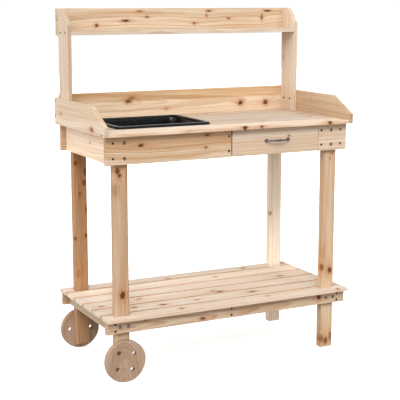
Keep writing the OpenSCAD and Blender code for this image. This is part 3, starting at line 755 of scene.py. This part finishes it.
def make_side_boards():
    """Boards at the ends of the worktop, with sloping front corners."""
    knots = {"side_board_left": [(0.86, 0.45, 3.2, 1.6, 0.7), (0.233, 0.17, 6.5, 1.7, 0.8)],
             "side_board_right": [(0.55, 0.72, 3.0, 1.8, 0.6)]}
    for node, tone in (("side_board_left", "cream"), ("side_board_right", "warm")):
        low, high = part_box(node)
        front_top = (low.y + SIDE_CUT[0], high.z)
        outline = [(low.y, low.z), (high.y, low.z), (high.y, high.z), front_top,
                   (low.y, high.z - SIDE_CUT[1])]
        make_board(node, "y", "x", tone, knots[node], outline=outline, contrast=0.5)


def make_posts():
    """Posts of the raised shelf, with sloping upper front corners."""
    knots = {"post_left": [], "post_right": [(0.515, 0.8, 4.0, 1.8, 0.9)]}
    for node in ("post_left", "post_right"):
        low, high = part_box(node)
        outline = [(low.z, low.y), (high.z - POST_CUT[1], low.y), (high.z, low.y + POST_CUT[0]),
                   (high.z, high.y), (low.z, high.y)]
        # the left post's front edge is darkened, partly as painted shade
        sawn = 0.5 if node == "post_left" else 0.0
        make_board(node, "z", "x", "cream", knots[node], outline=outline, contrast=0.5,
                   sawn=sawn)


def make_backs():
    make_board("splash_back", "x", "y", "pale",
               [(0.285, 0.62, 7.0, 1.5, 0.75), (0.30, 0.74, 6.0, 2.0, 0.5),
                (0.79, 0.35, 7.5, 1.2, 0.9), (0.91, 0.33, 8.0, 1.1, 0.9),
                (0.45, 0.26, 3.0, 2.0, 0.3)], ring=9.0, banding=0.15, contrast=0.5,
               figure="cathedral", heart=(0.62, 1.0))
    make_board("hutch_back", "x", "y", "pale",
               [(0.16, 0.35, 5.0, 1.1, 0.9), (0.28, 0.52, 3.4, 4.5, 1.0),
                (0.37, 0.66, 3.2, 1.6, 0.8), (0.34, 0.88, 2.6, 4.0, 0.7),
                (0.575, 0.39, 3.4, 1.4, 0.7), (0.64, 0.88, 3.0, 3.0, 0.9),
                (0.63, 0.70, 5.0, 0.5, 0.7), (0.73, 0.58, 3.0, 2.0, 0.6),
                (0.885, 0.62, 9.0, 0.3, 0.9), (0.91, 0.88, 3.0, 4.5, 0.9)],
               ring=8.0, banding=0.5, contrast=0.65)


SLAT_KNOTS = {
    1: [(0.98, 0.55, 6.0, 1.4, 1.0), (0.79, 0.40, 5.5, 1.6, 1.0), (0.44, 0.30, 3.8, 1.8, 0.9),
        (0.24, 0.5, 3.4, 1.8, 0.8)],
    2: [(0.62, 0.5, 3.6, 2.0, 0.9)],
    3: [(0.86, 0.3, 5.0, 2.0, 0.9)],
    4: [(0.53, 0.14, 6.5, 2.0, 1.0), (0.51, 0.38, 4.0, 1.8, 0.9), (0.21, 0.66, 4.2, 2.0, 0.9),
        (0.05, 0.3, 4.4, 2.0, 0.8)],
    5: [(0.64, 0.55, 6.5, 1.9, 1.0), (0.26, 0.4, 6.0, 2.0, 1.0), (0.15, 0.55, 4.8, 2.0, 0.9),
        (0.40, 0.45, 4.0, 2.0, 0.9)],
    6: [(0.955, 0.1, 4.0, 1.4, 1.0), (0.66, 0.55, 3.4, 1.6, 0.8), (0.30, 0.5, 4.4, 1.6, 0.9)],
}


def leg_notched(node):
    """The outline of a slat with a notch round each leg, with half a millimetre to spare."""
    low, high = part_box(node)
    spare = 0.5 * MM
    rear = node == "slat_1"
    side = "rear" if rear else "front"
    notches = []
    for hand in ("left", "right"):
        leg_low, leg_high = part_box(f"leg_{side}_{hand}")
        bottom = leg_high.y + spare if rear else leg_low.y - spare
        notches.append((leg_low.x - spare, leg_high.x + spare, bottom))
    if rear:
        cut = [point for x0, x1, y in notches
               for point in ((x0, low.y), (x0, y), (x1, y), (x1, low.y))]
        return [(low.x, low.y)] + cut + [(high.x, low.y), (high.x, high.y), (low.x, high.y)]
    cut = [point for x0, x1, y in reversed(notches)
           for point in ((x1, high.y), (x1, y), (x0, y), (x0, high.y))]
    return [(low.x, low.y), (high.x, low.y), (high.x, high.y)] + cut + [(low.x, high.y)]


def make_shelf():
    """Lower rails and slats."""
    # the rails' narrow edges are darkened, partly as painted shade where they show through the gaps
    # between the slats
    make_board("rail_front", "x", "y", "drab",
               [(0.884, 0.62, 8.0, 1.0, 1.0), (0.38, 0.25, 4.0, 2.4, 0.9),
                (0.15, 0.85, 3.2, 1.6, 0.6)], banding=0.5, contrast=0.9, figure="cathedral",
               sawn=0.65)
    make_board("rail_rear", "x", "y", "tan", [(0.4, 0.5, 5.0, 1.5, 0.8)], sawn=0.65)
    make_board("rail_left", "y", "x", "pale", sawn=0.65)
    make_board("rail_right", "y", "x", "pale", sawn=0.65)
    # the slats' front and back edges are darkened: partly sawn colour, partly painted shade in the
    # gaps between the slats
    for i in range(1, 7):
        node = f"slat_{i}"
        outline = leg_notched(node) if i in (1, 6) else None
        make_board(node, "x", "z", "bright", SLAT_KNOTS[i], outline=outline, edge=1.2 * MM,
                   sawn=0.25 if i == 6 else 1.0, contrast=0.6, banding=0.35)


# ---------------------------------------------------------------- drawer

def make_drawer():
    make_board("drawer_front", "x", "y", "cream", [(0.65, 0.68, 2.6, 1.2, 0.9)], contrast=0.5)
    for node in ("drawer_side_left", "drawer_side_right"):
        make_board(node, "y", "x", "pale")
    make_board("drawer_back", "x", "y", "pale")
    make_board("drawer_bottom", "x", "z", "cream", edge=0.5 * MM, contrast=0.3)
    make_handle()


def make_handle():
    """A bow handle: a bar that swells in the middle, between two domed feet."""
    low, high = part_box("drawer_handle")
    foot_r = 7 * MM
    wall = high.y
    left = Vector((low.x + foot_r, wall, (low.z + high.z) / 2))
    right = Vector((high.x - foot_r, wall, (low.z + high.z) / 2))
    reach = wall - low.y
    # the chrome's base colour is painted dark, far darker than real chrome: a painted reflection of
    # dark surroundings
    chrome = steel("handle_chrome", (0.10, 0.105, 0.115), 0.16, 1.0, (0.42, 0.43, 0.45))
    bm = bmesh.new()
    outwards = towards((0, -1, 0))
    foot = [(0, 0), (6.6, 0), (7.0, 0.4), (7.0, 1.4), (6.6, 1.9), (5.2, 2.5), (4.6, 3.2),
            (4.3, 5.0), (3.0, 6.4), (0, 6.8)]
    for spot in (left, right):
        spin(bm, [(r * MM, z * MM) for r, z in foot], 36, Matrix.Translation(spot) @ outwards)
    add_bow(bm, left, right, reach)
    obj = add_object("drawer_handle_bow", bm, chrome)
    round_off(obj, 45)
    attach(obj, BODY_OF["drawer_handle"])
    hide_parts("drawer_handle")


def add_bow(bm, left, right, reach):
    """The bar: an arc from foot to foot, thin at its necks, with a bead beside each foot."""
    stations, sides = 49, 20
    neck = 4.6 * MM
    rings = []
    for k in range(stations):
        share = k / (stations - 1)
        out = neck + (reach - 2 * neck) * math.sin(math.pi * share) ** 0.8
        spot = left.lerp(right, share) - Vector((0, out, 0))
        swell = math.exp(-((share - 0.5) / 0.17) ** 2)
        bead = math.exp(-((min(share, 1 - share) - 0.115) / 0.018) ** 2)
        tall = (2.1 + 2.2 * swell + 1.7 * bead) * MM
        deep = (2.0 + 1.3 * swell + 1.5 * bead) * MM
        slope = math.pi * math.cos(math.pi * share) * 0.8
        turn = math.atan2(slope * (reach - 2 * neck), right.x - left.x)
        along = Vector((math.cos(turn), -math.sin(turn), 0))
        normal = Vector((along.y, -along.x, 0))
        ring = []
        for s in range(sides):
            angle = 2 * math.pi * s / sides
            ring.append(bm.verts.new(spot + normal * deep * math.cos(angle)
                                     + Vector((0, 0, tall * math.sin(angle)))))
        rings.append(ring)
    for ring_a, ring_b in zip(rings, rings[1:]):
        skin(bm, ring_a, ring_b, sides)
    bm.faces.new(rings[0])
    bm.faces.new(rings[-1])


# ---------------------------------------------------------------- basin

def rounded_ring(bm, centre, half_x, half_y, corner, z, per_corner=12):
    """One closed ring of points: a rectangle with round corners."""
    ring = []
    for k, (sx, sy) in enumerate(((1, 1), (-1, 1), (-1, -1), (1, -1))):
        for i in range(per_corner):
            angle = math.pi / 2 * (k + i / (per_corner - 1))
            x = sx * (half_x - corner) + corner * math.cos(angle)
            y = sy * (half_y - corner) + corner * math.sin(angle)
            ring.append(bm.verts.new((centre.x + x, centre.y + y, z)))
    return ring


RIM_X = 14 * MM
RIM_Y = 12 * MM
BASIN_WALL = 3 * MM
BASIN_TAPER = 8 * MM
BASIN_FILLET = 22 * MM
BASIN_LIP = 13.2 * MM
CORNER_TOP = 20 * MM
CORNER_MORE = 8 * MM
ROUND_STEPS = 8


def basin_profile(top, foot, rim_foot):
    """Points (set in from the rim's edge, height): the inside from the rim's lower edge over
    the top to the floor, and the outside from the floor's underside back up to the rim."""
    inside = [(0, rim_foot), (0, top - 5.0 * MM), (0.5 * MM, top - 2.6 * MM),
              (1.8 * MM, top - 0.9 * MM), (3.8 * MM, top), (8.5 * MM, top),
              (10.8 * MM, top - 0.8 * MM), (12.3 * MM, top - 2.4 * MM),
              (BASIN_LIP, top - 5.0 * MM)]
    floor = foot + BASIN_WALL
    wall_top, wall_end = top - 5.0 * MM, floor + BASIN_FILLET
    for k in range(1, ROUND_STEPS + 1):
        share = k / ROUND_STEPS
        inside.append((BASIN_LIP + BASIN_WALL + BASIN_TAPER * share,
                       wall_top + (wall_end - wall_top) * share))
    last = inside[-1][0]
    for k in range(1, ROUND_STEPS + 1):
        angle = math.pi / 2 * k / ROUND_STEPS
        inside.append((last + BASIN_FILLET * (1 - math.cos(angle)),
                       wall_end - BASIN_FILLET * math.sin(angle)))
    flat = last + BASIN_FILLET
    inside += [(flat + 30 * MM, floor - 0.4 * MM), (flat + 80 * MM, floor - 0.7 * MM)]
    outside = [(flat + 78 * MM, foot + 0.1 * MM), (flat + 4 * MM, foot)]
    outer = BASIN_FILLET + BASIN_WALL
    for k in range(ROUND_STEPS - 1, -1, -1):
        angle = math.pi / 2 * k / ROUND_STEPS
        outside.append((last - BASIN_WALL + outer * (1 - math.cos(angle)),
                        foot + outer * (1 - math.sin(angle))))
    outside += [(14.6 * MM, rim_foot + 0.2 * MM), (14.4 * MM, rim_foot + 4.5 * MM),
                (2.6 * MM, rim_foot + 4.5 * MM), (2.4 * MM, rim_foot)]
    return inside, outside


def make_basin():
    """The basin: a rolled rim, tapering walls, a well rounded foot and a shallow dished floor."""
    low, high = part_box("sink_basin")
    centre = (low + high) / 2
    half_x, half_y = (high.x - low.x) / 2, (high.y - low.y) / 2
    top = high.z
    inside, outside = basin_profile(top, low.z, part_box("worktop_board_3")[1].z + 0.3 * MM)
    bm = bmesh.new()
    rings = []
    for inset, z in inside + outside:
        inset_y = inset * (RIM_Y / RIM_X) if inset < RIM_X else inset - RIM_X + RIM_Y
        corner = CORNER_TOP + CORNER_MORE * min(1.0, inset / (30 * MM))
        rings.append(rounded_ring(bm, centre, half_x - inset, half_y - inset_y, corner, z))
    count = len(rings[0])
    bottom_in, bottom_out = len(inside) - 1, len(inside)
    for n in range(len(rings)):
        ring_a, ring_b = rings[n], rings[(n + 1) % len(rings)]
        if n == bottom_in:
            continue
        skin(bm, ring_a, ring_b, count)
    bm.faces.new(rings[bottom_in])
    bm.faces.new(rings[bottom_out])
    obj = add_object("sink_basin_moulding", bm, basin_plastic(top))
    round_off(obj, 50)
    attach(obj, BODY_OF["sink_basin"])
    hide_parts("sink_basin")


# ---------------------------------------------------------------- wheels

def rounded_disc(radius, thickness, edge, steps=5):
    """Profile of a disc with rounded rims, from its lower middle to its upper middle."""
    profile = [(0, 0)]
    for k in range(steps + 1):
        angle = math.pi / 2 * k / steps
        profile.append((radius - edge + edge * math.sin(angle), edge - edge * math.cos(angle)))
    for k in range(steps + 1):
        angle = math.pi / 2 * k / steps
        profile.append((radius - edge + edge * math.cos(angle),
                        thickness - edge + edge * math.sin(angle)))
    return profile + [(0, thickness)]


def hole_cutter(bm, matrix, radius, depth_low, depth_high, thickness, ease=0.9 * MM):
    """A drill that also eases the hole's edges where it leaves the disc."""
    profile = [(0, depth_low)]
    if depth_low < 0:
        profile += [(radius + 2 * ease, depth_low), (radius + 2 * ease, -ease), (radius, ease)]
    else:
        profile += [(radius, depth_low)]
    if depth_high > thickness:
        profile += [(radius, thickness - ease), (radius + 2 * ease, thickness + ease),
                    (radius + 2 * ease, depth_high)]
    else:
        profile += [(radius, depth_high)]
    spin(bm, profile + [(0, depth_high)], 40, matrix)


SPOKE_REACH = 38 * MM
SPOKE_HOLE = 7.5 * MM
BORE = 5.05 * MM
HUB_DEPTH = 11 * MM
PLUG_HOLE = 10 * MM
PAST_FACE = 2 * MM
WHEELS = (("wheel_front", "wheel_plug_front", -1, 38), ("wheel_rear", "wheel_plug_rear", 1, 0))


def hub_place(low, high, sign):
    """The turn and shift that stand a disc on the wheel's inner face, facing outwards."""
    hub = (low + high) / 2
    hub.y = high.y if sign < 0 else low.y
    return Matrix.Translation(hub) @ Matrix.Rotation(math.radians(-90 * sign), 4, "X")


def make_wheels():
    for node, plug, sign, turn in WHEELS:
        low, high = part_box(node)
        radius, thickness = (high.x - low.x) / 2, high.y - low.y
        place = hub_place(low, high, sign)
        tone = "grey"
        material = timber("pine_" + node, (low, high), "z", "y", tone, 11 + sign,
                          ring=6.0, figure="cathedral", slope=0.42, contrast=0.5,
                          shade=SHADES[node])
        bm = bmesh.new()
        spin(bm, rounded_disc(radius, thickness, 3 * MM), 120, place)
        obj = add_object(node + "_disc", bm, material)
        cutter = bmesh.new()
        hole_cutter(cutter, place, BORE, -PAST_FACE, thickness - HUB_DEPTH + 1 * MM, thickness)
        carve(obj, cutter)
        cutter = bmesh.new()
        hole_cutter(cutter, place, PLUG_HOLE, thickness - HUB_DEPTH, thickness + PAST_FACE,
                    thickness, 0.25 * MM)
        for k in range(4):
            angle = math.radians(turn + 90 * k)
            spot = Vector((SPOKE_REACH * math.cos(angle), SPOKE_REACH * math.sin(angle), 0))
            hole_cutter(cutter, place @ Matrix.Translation(spot), SPOKE_HOLE,
                        -PAST_FACE, thickness + PAST_FACE, thickness)
        carve(obj, cutter)
        round_off(obj, 35)
        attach(obj, BODY_OF[node])
        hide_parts(node)
        make_plug(plug, sign, tone)


def make_plug(node, sign, tone):
    """The wooden plug over the head of the axle screw, flush with the hub."""
    low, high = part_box(node)
    place = hub_place(low, high, sign)
    bm = bmesh.new()
    profile = rounded_disc((high.x - low.x) / 2 - 0.1 * MM, high.y - low.y, 0.8 * MM)
    spin(bm, profile, 48, place)
    material = timber("pine_" + node, (low, high), "z", "y", tone, 5 + sign, ring=4.0,
                      shade=0.95)
    obj = add_object(node + "_button", bm, material)
    round_off(obj, 35)
    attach(obj, BODY_OF[node])
    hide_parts(node)


# ---------------------------------------------------------------- metal that keeps its CAD shape

def dress_metal():
    """Gives each fastener node its finish."""
    dark = steel("dark_screw_steel", (0.045, 0.036, 0.030), 0.48, 0.75, (0.10, 0.085, 0.07))
    zinc = steel("zinc_bolt_steel", (0.11, 0.12, 0.11), 0.36, 1.0, (0.24, 0.24, 0.20))
    nail = steel("nail_steel", (0.50, 0.40, 0.30), 0.50, 0.4, (0.42, 0.33, 0.24))
    finish = {"dark_steel": dark, "zinc_steel": zinc}
    for node, slot in SLOT_OF.items():
        if slot in finish:
            materials = frame["nodes"][node].data.materials
            materials.clear()
            materials.append(nail if node == "board_brads" else finish[slot])


# ---------------------------------------------------------------- studio

# Heights are the sine of the angle above the horizon
HORIZON_LIGHT = 1.02
ZENITH_LIGHT = 0.32
UPPER_BAND = (0.14, 0.30)
LOST_BELOW = 0.78
LOWER_BAND = (-0.26, -0.10)
LOWER_COLOUR = (1.0, 0.78, 0.58, 1)


def make_world():
    """Light from all round: white at the level of the horizon, softer overhead, and dim and
    warm below, where a studio floor gives little back."""
    world = bpy.data.worlds.new("studio")
    world.use_nodes = True
    net = Net(world.node_tree)
    height = net.split(net.node("ShaderNodeTexCoord", {}).outputs["Generated"])[2]
    upper = net.step(height, *UPPER_BAND, HORIZON_LIGHT, ZENITH_LIGHT)
    lower = net.step(height, *LOWER_BAND, -LOST_BELOW, 0.0)
    background = world.node_tree.nodes["Background"]
    whiteness = net.step(height, *LOWER_BAND)
    net.feed(background.inputs[0], net.mix(whiteness, LOWER_COLOUR, (1, 1, 1, 1)))
    net.feed(background.inputs[1], net.plus(upper, lower))
    bpy.context.scene.world = world


def soft_lamp(name, towards_scene, strength, spread):
    """A large lamp far away: spread is the angle that it covers, in degrees."""
    data = bpy.data.lights.new(name, "SUN")
    data.energy = strength
    data.angle = math.radians(spread)
    lamp = bpy.data.objects.new(name, data)
    lamp.rotation_euler = Vector(towards_scene).to_track_quat("-Z", "Y").to_euler()
    bpy.context.scene.collection.objects.link(lamp)


# Name, direction of the light, strength, spread
LAMPS = (
    ("key", (0.34, 0.67, -0.66), 2.00, 26),
    ("second_key", (-0.28, 0.71, -0.65), 0.80, 26),
    ("fill", (0.90, 0.12, -0.42), 1.95, 70),
    ("rear", (-0.62, -0.68, -0.39), 0.95, 70),
)


def make_studio():
    """A pale floor, a white surround, two key lamps in front, a fill lamp on the left
    and a weak one behind on the right."""
    bm = bmesh.new()
    bmesh.ops.create_grid(bm, x_segments=8, y_segments=8, size=14.0)
    floor = add_object("studio_floor", bm, floor_paint())
    floor.visible_diffuse = False
    make_world()
    for lamp in LAMPS:
        soft_lamp(*lamp)
    bpy.context.scene.view_settings.view_transform = "Standard"
    bpy.context.scene.view_settings.look = "None"


# The camera stands to the left of the bench's front and a little above the worktop
CAMERA_PLACE = (-1.7023, -3.3173, 1.2174)
CAMERA_AZIMUTH = -26.94
CAMERA_PITCH = 10.39
CAMERA_LENS = 98.1


def make_camera():
    data = bpy.data.cameras.new("camera")
    data.lens = CAMERA_LENS
    data.sensor_width = 36
    data.clip_end = 100
    camera = bpy.data.objects.new("camera", data)
    a, e = math.radians(CAMERA_AZIMUTH), math.radians(CAMERA_PITCH)
    look = Vector((-math.sin(a) * math.cos(e), math.cos(a) * math.cos(e), -math.sin(e)))
    camera.location = CAMERA_PLACE
    camera.rotation_euler = look.to_track_quat("-Z", "Y").to_euler()
    bpy.context.scene.collection.objects.link(camera)
    bpy.context.scene.camera = camera


make_camera()
make_studio()
make_legs()
make_aprons()
make_inner_frame()
make_worktop()
make_side_boards()
make_posts()
make_backs()
make_shelf()
make_drawer()
make_basin()
make_wheels()
dress_metal()
